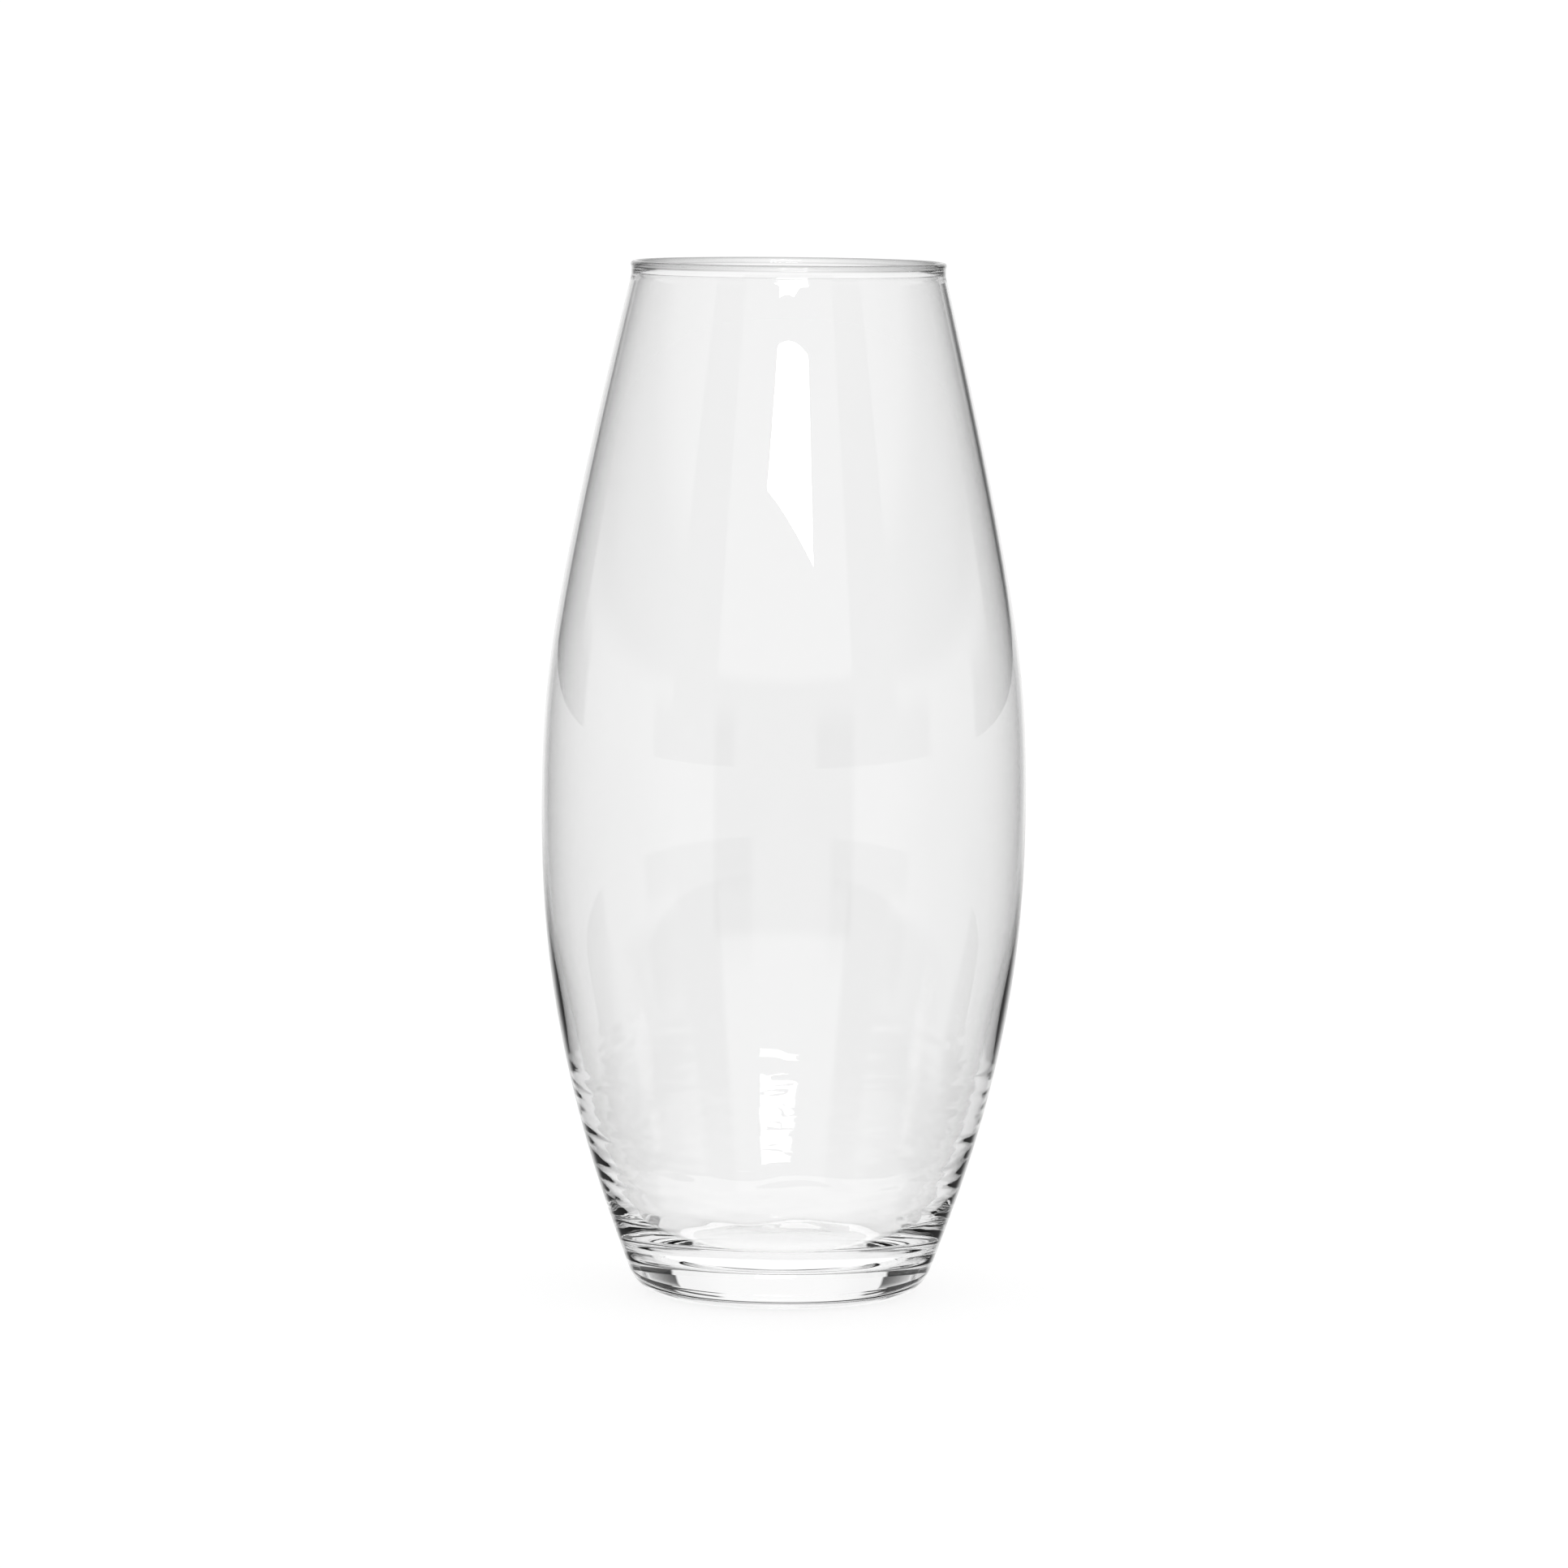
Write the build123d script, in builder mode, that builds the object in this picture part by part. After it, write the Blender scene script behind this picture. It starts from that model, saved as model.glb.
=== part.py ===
from build123d import *
import os

# Tall barrel vase in clear glass, blown as one piece: a heavy solid base, a wall that
# thins as it rises, a straight taper to the mouth and a fire-polished rim.
# Millimetres. The vase stands on z = 0 with its axis on +Z.

# --- driving dimensions -------------------------------------------------------------
HEIGHT = 300.0
BELLY_HEIGHT = 143.0         # height of the widest ring
BELLY_RADIUS = 70.3
LIP_RADIUS = 45.4            # outside of the wall just under the rim bead
LIP_HEIGHT = 296.0
HEEL_CORNER_RADIUS = 41.4    # where the wall would meet the table if it had no heel
HEEL_FILLET = 11.0
BEAD_RADIUS = 1.05           # section of the rounded rim
WALL = 1.6                   # from the belly up
FLOOR_THICKNESS = 12.0       # solid glass under the hollow
PUNT_RADIUS = 28.0           # shallow hollow underneath, inside the resting ring
PUNT_DEPTH = 0.6

# Rise of the outside between the table and the lip, as (radius, height).
OUTSIDE_POINTS = [
    (HEEL_CORNER_RADIUS, 0.0),
    (54.8, 38.0),
    (62.7, 68.0),
    (68.1, 100.0),
    (BELLY_RADIUS, BELLY_HEIGHT),
    (68.8, 178.0),
    (63.7, 212.0),
    (55.1, 254.0),
    (LIP_RADIUS, LIP_HEIGHT),
]
FOOT_SLOPE = (0.37, 1.0)     # outward run for each unit of rise, leaving the table
LIP_SLOPE = (-0.24, 1.0)     # arriving under the bead

# The hollow, from the middle of its floor to the belly: the thick lower wall is the
# difference between this curve and the outside.
HOLLOW_POINTS = [
    (0.0, FLOOR_THICKNESS),
    (18.0, 12.2),
    (34.0, 14.2),
    (42.6, 22.4),
    (47.6, 33.0),
    (52.4, 46.0),
    (58.0, 66.0),
    (65.7, 100.0),
    (BELLY_RADIUS - WALL, BELLY_HEIGHT),
    (68.8 - WALL, 178.0),
    (63.7 - WALL, 212.0),
    (55.1 - WALL, 254.0),
    (LIP_RADIUS - WALL, LIP_HEIGHT),
]

bead_centre_height = HEIGHT - BEAD_RADIUS
bead_centre_radius = LIP_RADIUS - WALL / 2
cutter_top = HEIGHT + 5.0

with BuildPart() as vase_body:
    # Solid of the outside.
    with BuildSketch(Plane.XZ) as outside_profile:
        with BuildLine() as outside_line:
            wall_line = Spline(*OUTSIDE_POINTS, tangents=(FOOT_SLOPE, LIP_SLOPE))
            Polyline(
                wall_line @ 1,
                (LIP_RADIUS, bead_centre_height),
                (0, bead_centre_height),
                (0, 0),
                wall_line @ 0,
            )
        make_face()
    revolve(axis=Axis.Z)

    # Rounded heel between the wall and the resting ring.
    foot_edge = vase_body.edges().group_by(Axis.Z)[0]
    fillet(foot_edge, HEEL_FILLET)

    # The hollow, with a rounded floor, open at the mouth.
    with BuildSketch(Plane.XZ) as hollow_profile:
        with BuildLine() as hollow_line:
            inner_line = Spline(*HOLLOW_POINTS, tangents=((1, 0), LIP_SLOPE))
            Polyline(
                inner_line @ 1,
                (LIP_RADIUS - WALL, cutter_top),
                (0, cutter_top),
                inner_line @ 0,
            )
        make_face()
    revolve(axis=Axis.Z, mode=Mode.SUBTRACT)

    # Fire-polished rim: a bead a little thicker than the wall.
    with BuildSketch(Plane.XZ) as bead_profile:
        with Locations((bead_centre_radius, bead_centre_height)):
            Circle(BEAD_RADIUS)
    revolve(axis=Axis.Z)

    # Shallow hollow underneath, so that the vase rests on a ring.
    with BuildSketch(Plane.XZ) as punt_profile:
        with BuildLine():
            TangentArc((0, PUNT_DEPTH), (PUNT_RADIUS, 0), tangent=(1, 0))
            Polyline((PUNT_RADIUS, 0), (0, 0), (0, PUNT_DEPTH))
        make_face()
    revolve(axis=Axis.Z, mode=Mode.SUBTRACT)

vase_body.part.label = "vase_body"

os.makedirs("parts", exist_ok=True)
export_step(vase_body.part, "parts/vase_body.step")
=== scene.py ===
"""Looks of a tall barrel vase in clear glass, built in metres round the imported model."""

import logging
import math
from dataclasses import dataclass, field
from enum import Enum

import bpy
import numpy as np
from mathutils import Matrix, Vector


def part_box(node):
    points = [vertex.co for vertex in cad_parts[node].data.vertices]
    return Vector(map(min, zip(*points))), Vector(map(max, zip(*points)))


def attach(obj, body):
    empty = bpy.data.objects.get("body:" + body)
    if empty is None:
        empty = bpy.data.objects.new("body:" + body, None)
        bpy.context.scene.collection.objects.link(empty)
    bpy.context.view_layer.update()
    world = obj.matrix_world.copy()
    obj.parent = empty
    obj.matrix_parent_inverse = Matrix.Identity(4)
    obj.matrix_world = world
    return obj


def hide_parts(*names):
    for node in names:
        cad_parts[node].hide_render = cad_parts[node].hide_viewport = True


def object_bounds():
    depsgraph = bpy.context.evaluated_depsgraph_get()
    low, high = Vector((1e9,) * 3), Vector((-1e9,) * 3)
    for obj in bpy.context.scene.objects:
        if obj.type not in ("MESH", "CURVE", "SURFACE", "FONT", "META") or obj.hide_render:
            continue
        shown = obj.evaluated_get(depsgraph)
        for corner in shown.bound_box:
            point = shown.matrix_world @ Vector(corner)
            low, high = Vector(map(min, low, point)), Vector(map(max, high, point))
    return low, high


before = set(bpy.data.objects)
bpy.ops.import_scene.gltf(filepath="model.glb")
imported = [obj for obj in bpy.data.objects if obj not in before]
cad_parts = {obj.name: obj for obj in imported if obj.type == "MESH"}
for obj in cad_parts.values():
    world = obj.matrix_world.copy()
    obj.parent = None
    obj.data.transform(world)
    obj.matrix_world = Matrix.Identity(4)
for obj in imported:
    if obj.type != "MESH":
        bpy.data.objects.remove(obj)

CAD_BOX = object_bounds()
GLASS_NODE = "vase_body"
BODY = "root"
GLASS_BOUNCES = 32
MIRROR_BOUNCES = 16

log = logging.getLogger("vase")


class Ray(Enum):
    """Kinds of ray that the studio surround answers differently, by Light Path output."""

    CAMERA = "Is Camera Ray"
    THROUGH = "Is Transmission Ray"
    FROM_MATT = "Diffuse Depth"


class Curve:
    """Smooth curve through a few points, with its end directions given."""

    def __init__(self, points: list[tuple[float, float]], start: tuple[float, float],
                 end: tuple[float, float]) -> None:
        """Fit the curve.

        Args:
            points: radius and height of each point, in millimetres.
            start: direction in which the curve leaves the first point.
            end: direction in which it reaches the last point.
        """
        self.points = np.array(points, float)
        chords = np.linalg.norm(np.diff(self.points, axis=0), axis=1)
        self.at = np.concatenate([[0.0], np.cumsum(chords)])
        self.slopes = self._slopes(np.array(start, float), np.array(end, float))

    def _slopes(self, start: np.ndarray, end: np.ndarray) -> np.ndarray:
        """Directions at the points that keep the bend even.

        Args:
            start: direction at the first point.
            end: direction at the last point.

        Returns:
            One direction for each point.
        """
        gaps, count = np.diff(self.at), len(self.points)
        system, right = np.eye(count), np.zeros((count, 2))
        right[0] = start / np.linalg.norm(start)
        right[-1] = end / np.linalg.norm(end)
        steps = np.diff(self.points, axis=0) / gaps[:, None]
        for i in range(1, count - 1):
            before, after = gaps[i - 1], gaps[i]
            system[i, i - 1:i + 2] = after, 2 * (before + after), before
            right[i] = 3 * (after * steps[i - 1] + before * steps[i])
        return np.linalg.solve(system, right)

    def sample(self, count: int) -> np.ndarray:
        """Points at even steps along the curve.

        Args:
            count: how many points, both ends included.

        Returns:
            An array of radius and height, in millimetres.
        """
        where = np.linspace(0.0, self.at[-1], count)
        span = np.clip(np.searchsorted(self.at, where, side="right") - 1, 0, len(self.at) - 2)
        gap = (self.at[span + 1] - self.at[span])[:, None]
        t = (where - self.at[span])[:, None] / gap
        a, b = self.points[span], self.points[span + 1]
        leave, reach = self.slopes[span] * gap, self.slopes[span + 1] * gap
        return ((2 * t**3 - 3 * t**2 + 1) * a + (t**3 - 2 * t**2 + t) * leave
                + (3 * t**2 - 2 * t**3) * b + (t**3 - t**2) * reach)


def arc(centre: tuple[float, float], radius: float, first: float, last: float,
        count: int) -> np.ndarray:
    """Points on an arc in the radius and height plane.

    Args:
        centre: radius and height of the arc's centre.
        radius: the arc's radius.
        first: angle of the first point, in degrees from outwards, turning up.
        last: angle of the last point.
        count: how many points, both ends included.

    Returns:
        An array of radius and height.
    """
    angles = np.radians(np.linspace(first, last, count))
    return np.array(centre) + radius * np.column_stack([np.cos(angles), np.sin(angles)])


class NodeBench:
    """Sets out the shader nodes of one material or world."""

    def __init__(self, tree: bpy.types.NodeTree, keep: bool = False) -> None:
        """Take the tree, cleared unless its nodes are to be kept."""
        if not keep:
            tree.nodes.clear()
        self.tree = tree

    def add(self, kind: str, **settings: object) -> bpy.types.Node:
        """Add a node.

        Args:
            kind: the node's type, without its ShaderNode prefix.
            settings: properties of the node.

        Returns:
            The new node.
        """
        node = self.tree.nodes.new("ShaderNode" + kind)
        node.location = (220 * len(self.tree.nodes), 0)
        for name, value in settings.items():
            setattr(node, name, value)
        return node

    def join(self, source: bpy.types.NodeSocket, target: bpy.types.NodeSocket) -> None:
        """Link two sockets."""
        self.tree.links.new(source, target)

    def fill(self, socket: bpy.types.NodeSocket, value: object) -> None:
        """Put a number, a colour or another node's output into a socket."""
        if isinstance(value, bpy.types.NodeSocket):
            self.join(value, socket)
        else:
            socket.default_value = value

    def math(self, operation: str, *values: object) -> bpy.types.NodeSocket:
        """Work out one number.

        Args:
            operation: a Math node operation.
            values: numbers or sockets, in the node's order.

        Returns:
            The result's socket.
        """
        node = self.add("Math", operation=operation)
        for socket, value in zip(node.inputs, values):
            self.fill(socket, value)
        return node.outputs[0]

    def away(self, value: bpy.types.NodeSocket, middle: float) -> bpy.types.NodeSocket:
        """How far a number is from a middle, whichever side it lies."""
        return self.math("ABSOLUTE", self.math("SUBTRACT", value, middle))

    def ease(self, value: bpy.types.NodeSocket, low: float, high: float,
             at_low: float = 0.0, at_high: float = 1.0) -> bpy.types.NodeSocket:
        """Go smoothly from one level to another.

        Args:
            value: what is measured.
            low: where the change starts.
            high: where it ends.
            at_low: level up to the start.
            at_high: level from the end on.

        Returns:
            The level's socket.
        """
        node = self.add("MapRange", interpolation_type="SMOOTHSTEP")
        for socket, number in zip(node.inputs, (value, low, high, at_low, at_high)):
            self.fill(socket, number)
        return node.outputs[0]

    def blend(self, share: object, first: object, second: object) -> bpy.types.NodeSocket:
        """Mix two numbers.

        Args:
            share: how much of the second.
            first: number or socket.
            second: number or socket.

        Returns:
            The mixed number's socket.
        """
        node = self.add("Mix", data_type="FLOAT")
        for socket, value in zip(node.inputs[:1] + node.inputs[2:4], (share, first, second)):
            self.fill(socket, value)
        return node.outputs[0]


@dataclass(frozen=True)
class ClearGlass:
    """Blown soda-lime glass: clear, colourless, fire polished.

    Its colour is painted darker where it is seen at a glance, a painted shade standing in for the
    dark surroundings that the edges mirror: strongest as a painted dark line in the rim bead,
    least in the foot.
    Lengths are in metres.
    """

    ior: float = 1.52
    # painted edge and rim shade: how far the colour darkens towards black at a glance, and how
    # sharply
    edge_painted_shade: float = 0.8
    edge_power: float = 4.0
    rim_painted_shade: float = 1.0
    rim_power: float = 0.75
    # where the painted dark rim line starts below the top of the bead, and how softly
    rim_depth: float = 0.0021
    rim_fade: float = 0.0003
    # the painted edge shade fades down to foot_share of itself towards the underside
    foot_height: float = 0.008
    foot_share: float = 0.15
    colour: tuple[float, float, float] = (0.927, 0.927, 0.927)

    def make(self) -> bpy.types.Material:
        """Make the material.

        Returns:
            The glass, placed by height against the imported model.
        """
        material = bpy.data.materials.new("clear_blown_glass")
        material.use_nodes = True
        bench = NodeBench(material.node_tree)
        output = bench.add("OutputMaterial")
        glass = bench.add("BsdfPrincipled")
        glass.inputs["Roughness"].default_value = 0.0
        glass.inputs["IOR"].default_value = self.ior
        glass.inputs["Transmission Weight"].default_value = 1.0
        glance = bench.add("LayerWeight")
        glance.inputs["Blend"].default_value = 0.5
        place = bench.add("SeparateXYZ")
        bench.join(bench.add("NewGeometry").outputs["Position"], place.inputs[0])
        height = place.outputs[2]
        base, lip = CAD_BOX[0].z, CAD_BOX[1].z - self.rim_depth
        # mask of the rim bead, which gets the painted dark rim line
        rim = bench.ease(height, lip - self.rim_fade, lip + self.rim_fade)
        foot = bench.ease(height, base, base + self.foot_height, self.foot_share, 1.0)
        # painted shade: how much the glass's colour darkens at a glance, standing in for dark
        # surroundings mirrored at the edges
        share = bench.math("POWER", glance.outputs["Facing"],
                           bench.blend(rim, self.edge_power, self.rim_power))
        share = bench.math("MULTIPLY", share, bench.blend(rim, self.edge_painted_shade, self.rim_painted_shade))
        share = bench.math("MULTIPLY", share, foot)
        # painted shade mixed into the glass's colour, towards black
        painted_shade_tint = bench.add("Mix", data_type="RGBA")
        painted_shade_tint.inputs[6].default_value = (*self.colour, 1.0)
        painted_shade_tint.inputs[7].default_value = (0.0, 0.0, 0.0, 1.0)
        bench.join(share, painted_shade_tint.inputs[0])
        bench.join(painted_shade_tint.outputs[2], glass.inputs["Base Color"])
        bench.join(glass.outputs["BSDF"], output.inputs["Surface"])
        return material


@dataclass(frozen=True)
class LitFloor:
    """Matt white floor lit partly from below, with a round light table under the vase.

    Seen directly it is even white. Seen through the glass it is brightest under the base and
    a little brighter over the table than beyond it.
    """

    albedo: float = 0.22
    glow: float = 0.80
    table_glow: float = 0.88
    under_glow: float = 1.12
    base_radius: float = 0.034
    base_fade: float = 0.002
    table_radius: float = 0.117
    table_fade: float = 0.0005

    def make(self) -> bpy.types.Material:
        """Make the floor's material.

        Returns:
            The material, in metres from the vase's axis.
        """
        material = bpy.data.materials.new("studio_white")
        material.use_nodes = True
        shader = material.node_tree.nodes["Principled BSDF"]
        output = material.node_tree.nodes["Material Output"]
        bench = NodeBench(material.node_tree, keep=True)
        place = bench.add("SeparateXYZ")
        bench.join(bench.add("NewGeometry").outputs["Position"], place.inputs[0])
        x, y = place.outputs[0], place.outputs[1]
        reach = bench.math("SQRT", bench.math("ADD", bench.math("MULTIPLY", x, x),
                                              bench.math("MULTIPLY", y, y)))
        glow = bench.ease(reach, self.table_radius - self.table_fade,
                          self.table_radius + self.table_fade, self.table_glow, self.glow)
        glow = bench.blend(bench.ease(reach, self.base_radius, self.base_radius + self.base_fade),
                           self.under_glow, glow)
        camera = bench.add("LightPath").outputs[Ray.CAMERA.value]
        bench.join(bench.blend(camera, glow, self.glow), shader.inputs["Emission Strength"])
        shader.inputs["Emission Color"].default_value = (1.0, 1.0, 1.0, 1.0)
        shader.inputs["Base Color"].default_value = (self.albedo, self.albedo, self.albedo, 1.0)
        shader.inputs["Roughness"].default_value = 1.0
        shader.inputs["Specular IOR Level"].default_value = 0.0
        bench.join(shader.outputs["BSDF"], output.inputs["Surface"])
        return material


@dataclass(frozen=True)
class Glow:
    """Even white light of a window pane."""

    name: str
    strength: float

    def make(self) -> bpy.types.Material:
        """Make the glowing material."""
        material = bpy.data.materials.new(self.name)
        material.use_nodes = True
        bench = NodeBench(material.node_tree)
        output = bench.add("OutputMaterial")
        light = bench.add("Emission")
        light.inputs["Strength"].default_value = self.strength
        bench.join(light.outputs[0], output.inputs["Surface"])
        return material


@dataclass
class ToolRings:
    """Uneven rings left inside the thick lower wall, where the gather was shaped."""

    lowest: float = 19.0
    highest: float = 74.0
    fade: float = 10.0
    depth: float = 0.045
    spread: float = 1.7
    waves: tuple[tuple[float, float, float, int, float], ...] = (
        # wavelength, share, phase, turns of wobble, how far the wobble shifts the ring
        (6.3, 0.50, 0.3, 5, 1.5),
        (4.4, 0.45, 2.1, 8, 1.9),
        (9.7, 0.45, 4.0, 3, 1.3),
        (3.3, 0.25, 1.2, 11, 2.2),
    )

    def depth_at(self, heights: np.ndarray, turns: np.ndarray) -> np.ndarray:
        """How far the wall stands in at each place.

        Args:
            heights: heights in millimetres.
            turns: angles round the axis, in radians.

        Returns:
            Distances in millimetres.
        """
        rise = np.clip((heights - self.lowest) / self.fade, 0.0, 1.0)
        fall = np.clip((self.highest - heights) / self.fade, 0.0, 1.0)
        window = (rise * fall) ** 2 * (3 - 2 * rise) * (3 - 2 * fall)
        total = np.zeros(np.broadcast(heights, turns).shape)
        for length, share, phase, lobes, swing in self.waves:
            wobble = swing * np.sin(lobes * turns + self.spread * phase)
            total = total + share * np.sin(2 * math.pi * heights / length + phase + wobble)
        return self.depth * window * total


@dataclass
class VaseBody:
    """The blown glass: foot, heel, wall, rim and hollow, turned about one axis.

    Sizes are in millimetres for a vase of the nominal height, and the mesh is fitted to the
    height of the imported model.
    """

    nominal_height: float = 300.0
    outside: list[tuple[float, float]] = field(default_factory=lambda: [
        (44.06, 7.18), (54.8, 38.0), (62.7, 68.0), (68.1, 100.0), (70.3, 143.0),
        (68.8, 178.0), (63.7, 212.0), (55.1, 254.0), (45.4, 296.0)])
    hollow: list[tuple[float, float]] = field(default_factory=lambda: [
        (0.0, 12.0), (18.0, 12.2), (34.0, 14.2), (42.6, 22.4), (47.6, 33.0), (52.4, 46.0),
        (58.0, 66.0), (65.7, 100.0), (68.7, 143.0), (67.2, 178.0), (62.1, 212.0),
        (53.5, 254.0), (43.8, 296.0)])
    foot_slope: float = 0.37
    lip_slope: float = -0.24
    heel: float = 11.0
    bead: float = 1.05
    punt_radius: float = 28.0
    punt_depth: float = 0.6
    punt_points: int = 9
    ring_points: int = 4
    round_points: int = 22
    wall_points: int = 170
    hollow_points: int = 400
    segments: int = 152
    rings: ToolRings = field(default_factory=ToolRings)

    def outline(self) -> tuple[np.ndarray, int]:
        """The section, from the middle of the underside round the rim to the hollow's floor.

        Returns:
            Radius and height of its points, and the index where the hollow starts.
        """
        outside = Curve(self.outside, (self.foot_slope, 1.0), (self.lip_slope, 1.0))
        hollow = Curve(self.hollow, (1.0, 0.0), (self.lip_slope, 1.0))
        foot_radius = self.outside[0][0] - self.heel / math.hypot(1.0, self.foot_slope)
        wall_start = -math.degrees(math.atan(self.foot_slope))
        punt_bow = (self.punt_radius**2 + self.punt_depth**2) / (2 * self.punt_depth)
        punt_turn = math.degrees(math.asin(self.punt_radius / punt_bow))
        lip_out, lip_in = self.outside[-1][0], self.hollow[-1][0]
        bead_centre = ((lip_out + lip_in) / 2, self.nominal_height - self.bead)
        meet = math.degrees(math.acos((lip_out - lip_in) / 2 / self.bead))
        punt = arc((0.0, self.punt_depth - punt_bow), punt_bow, 90.0, 90.0 - punt_turn,
                   self.punt_points)
        flat = np.linspace(self.punt_radius, foot_radius, self.ring_points)[1:-1]
        ring = np.column_stack([flat, np.zeros(len(flat))])
        heel = arc((foot_radius, self.heel), self.heel, -90.0, wall_start, self.round_points)
        wall = outside.sample(self.wall_points)[1:]
        bead = arc(bead_centre, self.bead, -meet, 180.0 + meet, self.round_points)
        inner = hollow.sample(self.hollow_points)[::-1]
        before = np.vstack([punt, ring, heel, wall, bead])
        return np.vstack([before, inner]), len(before)

    def make(self, box: tuple[Vector, Vector]) -> bpy.types.Object:
        """Turn the outline into the glass piece.

        Args:
            box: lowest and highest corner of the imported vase.

        Returns:
            The mesh object.
        """
        low, high = box
        scale = (high.z - low.z) / self.nominal_height
        centre = ((low.x + high.x) / 2, (low.y + high.y) / 2)
        section, hollow_start = self.outline()
        turns = np.linspace(0.0, 2 * math.pi, self.segments, endpoint=False)
        radius = np.repeat(section[1:-1, :1], self.segments, axis=1)
        height = np.repeat(section[1:-1, 1:], self.segments, axis=1)
        tangent = np.gradient(section, axis=0)
        tangent /= np.linalg.norm(tangent, axis=1)[:, None]
        inward = self.rings.depth_at(height, turns[None, :])
        inward[:hollow_start - 1] = 0.0
        radius = radius + inward * tangent[1:-1, 1:]
        height = height - inward * tangent[1:-1, :1]
        x = centre[0] + radius * np.cos(turns) * scale
        y = centre[1] + radius * np.sin(turns) * scale
        z = low.z + height * scale
        poles = [(centre[0], centre[1], low.z + section[end, 1] * scale) for end in (0, -1)]
        points = np.vstack([np.stack([x, y, z], axis=-1).reshape(-1, 3), poles])
        mesh = bpy.data.meshes.new("vase_glass")
        mesh.from_pydata(points.tolist(), [], self._faces(len(section) - 2, len(points)))
        mesh.validate()
        mesh.shade_smooth()
        piece = bpy.data.objects.new("vase_glass", mesh)
        bpy.context.scene.collection.objects.link(piece)
        return piece

    def _faces(self, loops: int, count: int) -> list[tuple[int, ...]]:
        """Faces of the turned skin, closed at both poles, facing out of the glass.

        Args:
            loops: how many rings of points there are.
            count: how many points in all, the two poles last.

        Returns:
            Point indices of each face.
        """
        faces = []
        last = (loops - 1) * self.segments
        for i in range(self.segments):
            j = (i + 1) % self.segments
            faces.append((count - 2, j, i))
            faces.append((count - 1, last + i, last + j))
        for loop in range(loops - 1):
            a, b = loop * self.segments, (loop + 1) * self.segments
            for i in range(self.segments):
                j = (i + 1) % self.segments
                faces.append((a + i, a + j, b + j, b + i))
        return faces


@dataclass
class Window:
    """Tall window behind the camera, as two glowing panes, set by how the vase sees them."""

    distance: float = 2.6
    height: float = 0.24
    strength: float = 14.0
    panes: tuple[tuple[tuple[float, float], ...], ...] = (
        # turn and rise of each corner, in degrees, from the vase
        ((-7.1, 24.2), (13.8, 23.8), (14.5, 16.5), (-11.3, 19.7)),
        ((-6.5, 25.47), (4.0, 25.5), (14.8, 25.72), (15.3, 30.0), (-10.0, 30.0)),
    )

    def corner(self, turn: float, rise: float) -> tuple[float, float, float]:
        """Place of one corner.

        Args:
            turn: degrees from straight behind the camera, to the camera's right.
            rise: degrees above level.

        Returns:
            Its coordinates in metres.
        """
        a, e = math.radians(turn), math.radians(rise)
        out = self.distance * math.cos(e)
        return (out * math.sin(a), -out * math.cos(a), self.height + self.distance * math.sin(e))

    def make(self) -> list[bpy.types.Object]:
        """Hang the panes where no camera meets them."""
        glow = Glow("window_glow", self.strength).make()
        made = []
        for number, pane in enumerate(self.panes, 1):
            name = f"window_pane_{number}"
            mesh = bpy.data.meshes.new(name)
            mesh.from_pydata([self.corner(*c) for c in pane], [], [tuple(range(len(pane)))])
            mesh.materials.append(glow)
            card = bpy.data.objects.new(name, mesh)
            card.visible_camera = False
            card.visible_diffuse = False
            card.visible_shadow = False
            bpy.context.scene.collection.objects.link(card)
            made.append(card)
        return made


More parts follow.
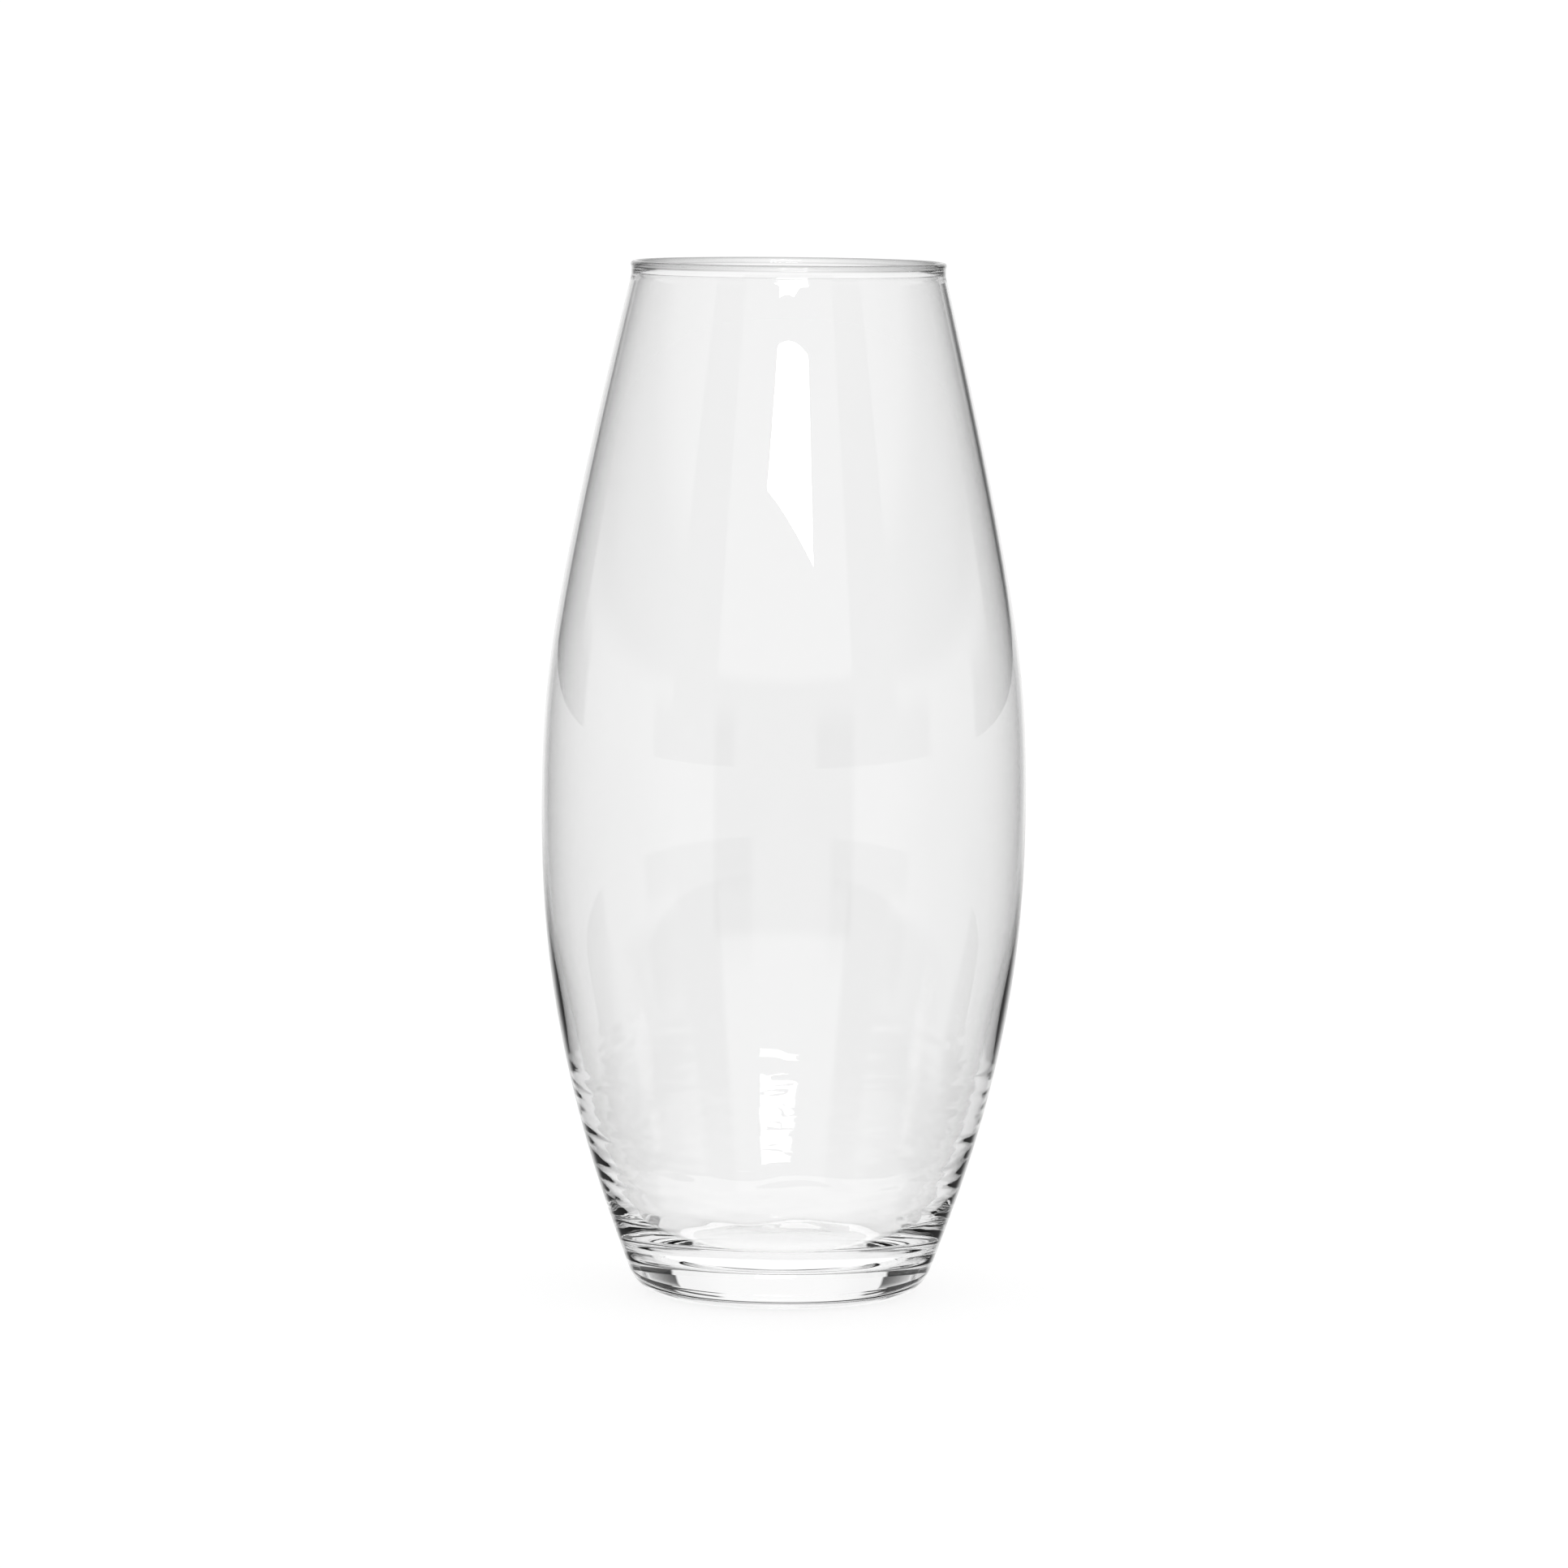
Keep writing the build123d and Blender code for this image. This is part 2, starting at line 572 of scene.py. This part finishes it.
@dataclass
class Studio:
    """Pale floor and soft light all round, with darker stretches that draw the glass's edges.

    Light that comes through the glass meets white screens with dark gaps between them. Light
    that the glass only mirrors meets a soft front with a darker doorway in it. Directions are
    in degrees: the turn from straight behind the vase and the rise above level.
    """

    floor_radius: float = 8.0
    floor_corners: int = 96
    white: float = 1.046
    fill: float = 1.12
    gap_turn: tuple[float, float] = (60.0, 100.0)
    gap_levels: tuple[float, float] = (0.02, 0.08)
    screen_spacing: float = 90.0
    screen_half: tuple[float, float] = (32.5, 34.5)
    low_half: tuple[float, float] = (22.0, 26.0)
    low_rise: tuple[float, float] = (2.0, 7.0)
    side_edge: tuple[float, float] = (-0.02, 0.02)
    side_shifts: tuple[float, float] = (0.0, 8.5)
    slot_rise: float = 11.5
    slot_half: tuple[float, float] = (2.5, 6.5)
    ceiling: tuple[float, float] = (17.0, 34.0)
    soft_rise: tuple[float, float] = (-6.0, 2.0)
    soft_levels: tuple[float, float] = (0.12, 0.36)
    front_turn: tuple[float, float] = (95.0, 135.0)
    front_level: float = 0.9
    table_rise: tuple[float, float] = (-70.0, -50.0)
    doorway_turn: tuple[float, float] = (145.0, 149.0)
    doorway_rise: float = -3.0
    doorway_half: tuple[float, float] = (11.0, 13.0)
    doorway_level: float = 0.0
    backdrop_half: tuple[float, float] = (13.0, 27.0)
    window: Window = field(default_factory=Window)

    def make(self) -> None:
        """Set the floor, the surround and the window."""
        self.floor()
        self.surround()
        for card in self.window.make():
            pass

    def floor(self) -> bpy.types.Object:
        """Lay the floor at the foot of the vase.

        Returns:
            The floor object.
        """
        level = CAD_BOX[0].z
        turns = [2 * math.pi * i / self.floor_corners for i in range(self.floor_corners)]
        points = [(self.floor_radius * math.cos(t), self.floor_radius * math.sin(t), level)
                  for t in turns]
        mesh = bpy.data.meshes.new("studio_floor")
        mesh.from_pydata(points, [], [tuple(range(len(points)))])
        mesh.materials.append(LitFloor().make())
        floor = bpy.data.objects.new("studio_floor", mesh)
        floor.visible_glossy = False
        bpy.context.scene.collection.objects.link(floor)
        return floor

    def surround(self) -> None:
        """Light the studio from the world."""
        world = bpy.data.worlds.new("studio_surround")
        bpy.context.scene.world = world
        world.use_nodes = True
        world.cycles.sampling_method = "NONE"
        bench = NodeBench(world.node_tree)
        output = bench.add("OutputWorld")
        light = bench.add("Background")
        way = bench.add("SeparateXYZ")
        bench.join(bench.add("TexCoord").outputs["Generated"], way.inputs[0])
        turn = bench.math("ABSOLUTE", bench.math("ARCTAN2", way.outputs[0], way.outputs[1]))
        turn = bench.math("DEGREES", turn)
        rise = bench.math("DEGREES", bench.math("ARCSINE", way.outputs[2]))
        through = self.seen_through(bench, way.outputs[0], turn, rise)
        mirrored = self.seen_mirrored(bench, turn, rise)
        paths = bench.add("LightPath")
        seen = bench.blend(paths.outputs[Ray.THROUGH.value], mirrored, through)
        matt = bench.math("MINIMUM", paths.outputs[Ray.FROM_MATT.value], 1.0)
        seen = bench.blend(matt, seen, self.fill)
        seen = bench.blend(paths.outputs[Ray.CAMERA.value], seen, self.white)
        light.inputs["Color"].default_value = (1.0, 1.0, 1.0, 1.0)
        bench.join(seen, light.inputs["Strength"])
        bench.join(light.outputs[0], output.inputs["Surface"])

    def seen_through(self, bench: NodeBench, side: bpy.types.NodeSocket,
                     turn: bpy.types.NodeSocket,
                     rise: bpy.types.NodeSocket) -> bpy.types.NodeSocket:
        """Light met through the glass: four screens, the gaps between them and a ceiling.

        Args:
            bench: the world's nodes.
            side: how far the direction points to the right.
            turn: degrees from straight behind the vase.
            rise: degrees above level.

        Returns:
            The light level's socket.
        """
        quarter = bench.math("PINGPONG", turn, self.screen_spacing / 2)
        shifted = bench.math("ADD", quarter, bench.ease(side, *self.side_edge,
                                                        *self.side_shifts))
        screens = bench.blend(bench.ease(rise, *self.low_rise),
                              bench.ease(shifted, *self.low_half, 1.0, 0.0),
                              bench.ease(quarter, *self.screen_half, 1.0, 0.0))
        beside = bench.away(turn, self.screen_spacing)
        above = bench.away(rise, self.slot_rise)
        slot = bench.math("MULTIPLY", bench.ease(beside, *self.screen_half, 1.0, 0.0),
                          bench.ease(above, *self.slot_half, 1.0, 0.0))
        screens = bench.blend(slot, screens, 0.0)
        bright = bench.math("MAXIMUM", screens, bench.ease(rise, *self.ceiling))
        gap = bench.ease(turn, *self.gap_turn, *self.gap_levels)
        return bench.blend(bright, gap, self.white)

    def seen_mirrored(self, bench: NodeBench, turn: bpy.types.NodeSocket,
                      rise: bpy.types.NodeSocket) -> bpy.types.NodeSocket:
        """Light mirrored by the glass: soft front, doorway, lit table and white backdrop.

        Args:
            bench: the world's nodes.
            turn: degrees from straight behind the vase.
            rise: degrees above level.

        Returns:
            The light level's socket.
        """
        level = bench.ease(rise, *self.soft_rise, *self.soft_levels)
        level = bench.blend(bench.ease(turn, *self.front_turn), level, self.front_level)
        table = bench.ease(rise, *self.table_rise, 1.0, 0.0)
        level = bench.blend(table, level, self.white)
        beyond = bench.away(rise, self.doorway_rise)
        doorway = bench.math("MULTIPLY", bench.ease(turn, *self.doorway_turn),
                             bench.ease(beyond, *self.doorway_half, 1.0, 0.0))
        level = bench.blend(doorway, level, self.doorway_level)
        backdrop = bench.ease(turn, *self.backdrop_half, 1.0, 0.0)
        return bench.blend(backdrop, level, self.white)


@dataclass
class Camera:
    """Long lens a little above the rim, tipped down and turned a touch."""

    distance: float = 2.209
    height: float = 0.3617
    aim: float = 0.1485
    lens: float = 175.47
    roll: float = 0.53
    sensor: float = 36.0
    clip: tuple[float, float] = (0.05, 60.0)

    def make(self) -> bpy.types.Object:
        """Set up the camera.

        Returns:
            The camera object.
        """
        middle = (CAD_BOX[0] + CAD_BOX[1]) / 2
        place = Vector((middle.x, middle.y - self.distance, CAD_BOX[0].z + self.height))
        aim = Vector((middle.x, middle.y, CAD_BOX[0].z + self.aim))
        data = bpy.data.cameras.new("camera")
        data.lens = self.lens
        data.sensor_width = self.sensor
        data.clip_start, data.clip_end = self.clip
        camera = bpy.data.objects.new("camera", data)
        look = (aim - place).to_track_quat("-Z", "Y").to_matrix().to_4x4()
        turn = Matrix.Rotation(math.radians(self.roll), 4, "Z")
        camera.matrix_world = Matrix.Translation(place) @ look @ turn
        bpy.context.scene.collection.objects.link(camera)
        bpy.context.scene.camera = camera
        return camera


def set_tone() -> None:
    """Show light levels as they are, and let light go all the way through thick glass."""
    scene = bpy.context.scene
    scene.view_settings.view_transform = "Standard"
    scene.cycles.max_bounces = GLASS_BOUNCES
    scene.cycles.transmission_bounces = GLASS_BOUNCES
    scene.cycles.glossy_bounces = MIRROR_BOUNCES


def main() -> None:
    """Build the vase and its studio, and report each piece."""
    logging.basicConfig(level=logging.INFO, format="%(message)s")
    set_tone()
    Camera().make()
    glass = VaseBody().make(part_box(GLASS_NODE))
    glass.data.materials.append(ClearGlass().make())
    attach(glass, BODY)
    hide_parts(GLASS_NODE)
    log.info("%s: %d points", glass.name, len(glass.data.vertices))
    Studio().make()
    log.info("studio set")


if __name__ == "__main__":
    main()
